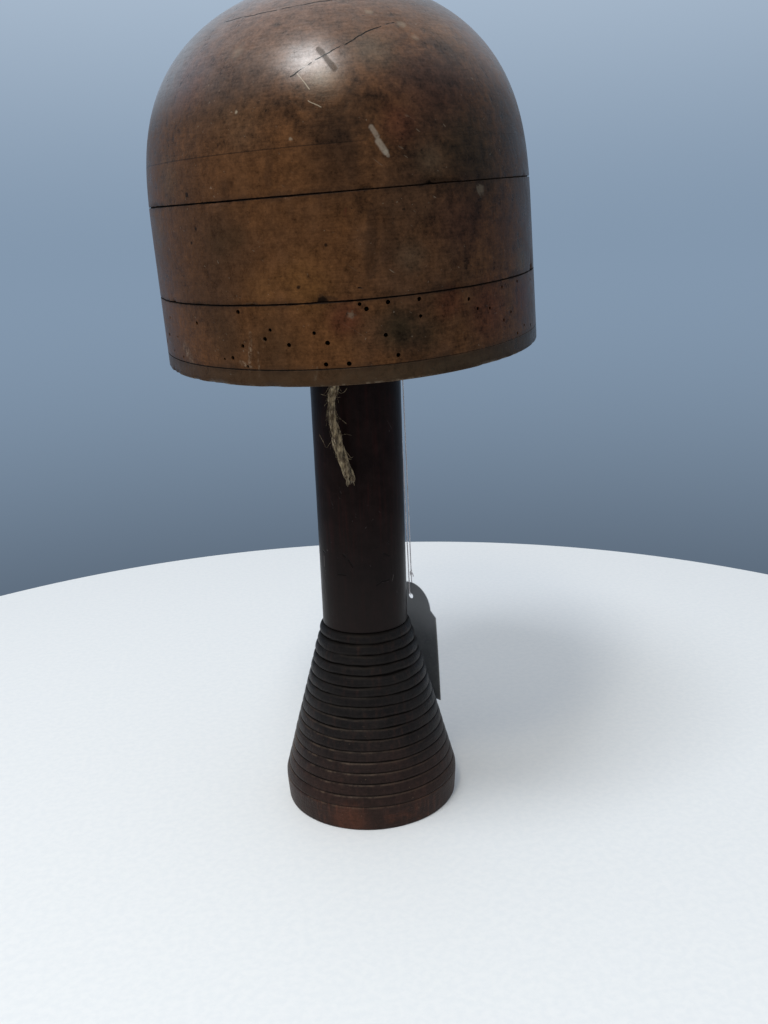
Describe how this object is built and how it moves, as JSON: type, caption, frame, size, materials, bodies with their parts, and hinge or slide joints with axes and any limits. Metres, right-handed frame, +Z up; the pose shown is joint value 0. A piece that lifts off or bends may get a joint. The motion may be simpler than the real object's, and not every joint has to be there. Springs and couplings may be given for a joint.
{
  "type": "hat block on stand",
  "caption": "Oval domed wooden hat block in layered boards, resting on a peg in a turned column with a ribbed flared foot; a twine tail and a blank swing tag hang below.",
  "frame": {"origin": "centre of the foot's underside, on the surface the stand rests on", "axes": "+Z up along the column, +Y along the block's long axis away from the viewer, +X across the block"},
  "size_m": [0.1702, 0.2079, 0.3794],
  "materials": {
    "foot": "near-black stain worn to red low down, satin wax",
    "column": "near-black brown polish, semi-gloss",
    "peg": "bare turned wood",
    "board": "old dark waxed fruitwood, handled",
    "crown": "old dark waxed fruitwood, dull sheen",
    "wire": "dull galvanised wire",
    "twine": "loosely laid plant fibre twine",
    "thread": "thin white cotton",
    "card": "blank grey card"
  },
  "bodies": {
    "stand": {"foot": "foot", "column": "column"},
    "peg": {"peg": "peg"},
    "block": {"lower_board": "board", "middle_board": "board", "crown_board": "crown", "crown_cap": "crown", "twine_staple": "wire", "tag_staple": "wire", "twine_tail": "twine"},
    "tag": {"tag_thread": "thread", "swing_tag": "card"}
  },
  "joints": [
    {"name": "block_turn", "type": "hinge", "parent": "stand", "child": "peg", "pos_m": [0, 0, 0.22758], "axis": [0, 0, 1], "continuous": true},
    {"name": "block_lift", "type": "slide", "parent": "peg", "child": "block", "axis": [0, 0, 1], "range_m": [0, 0.045]},
    {"name": "tag_swing", "type": "hinge", "parent": "block", "child": "tag", "pos_m": [0.02515, 0.01832, 0.226], "axis": [0.5887, -0.8083, 0], "range_deg": [0, 40]}
  ]
}
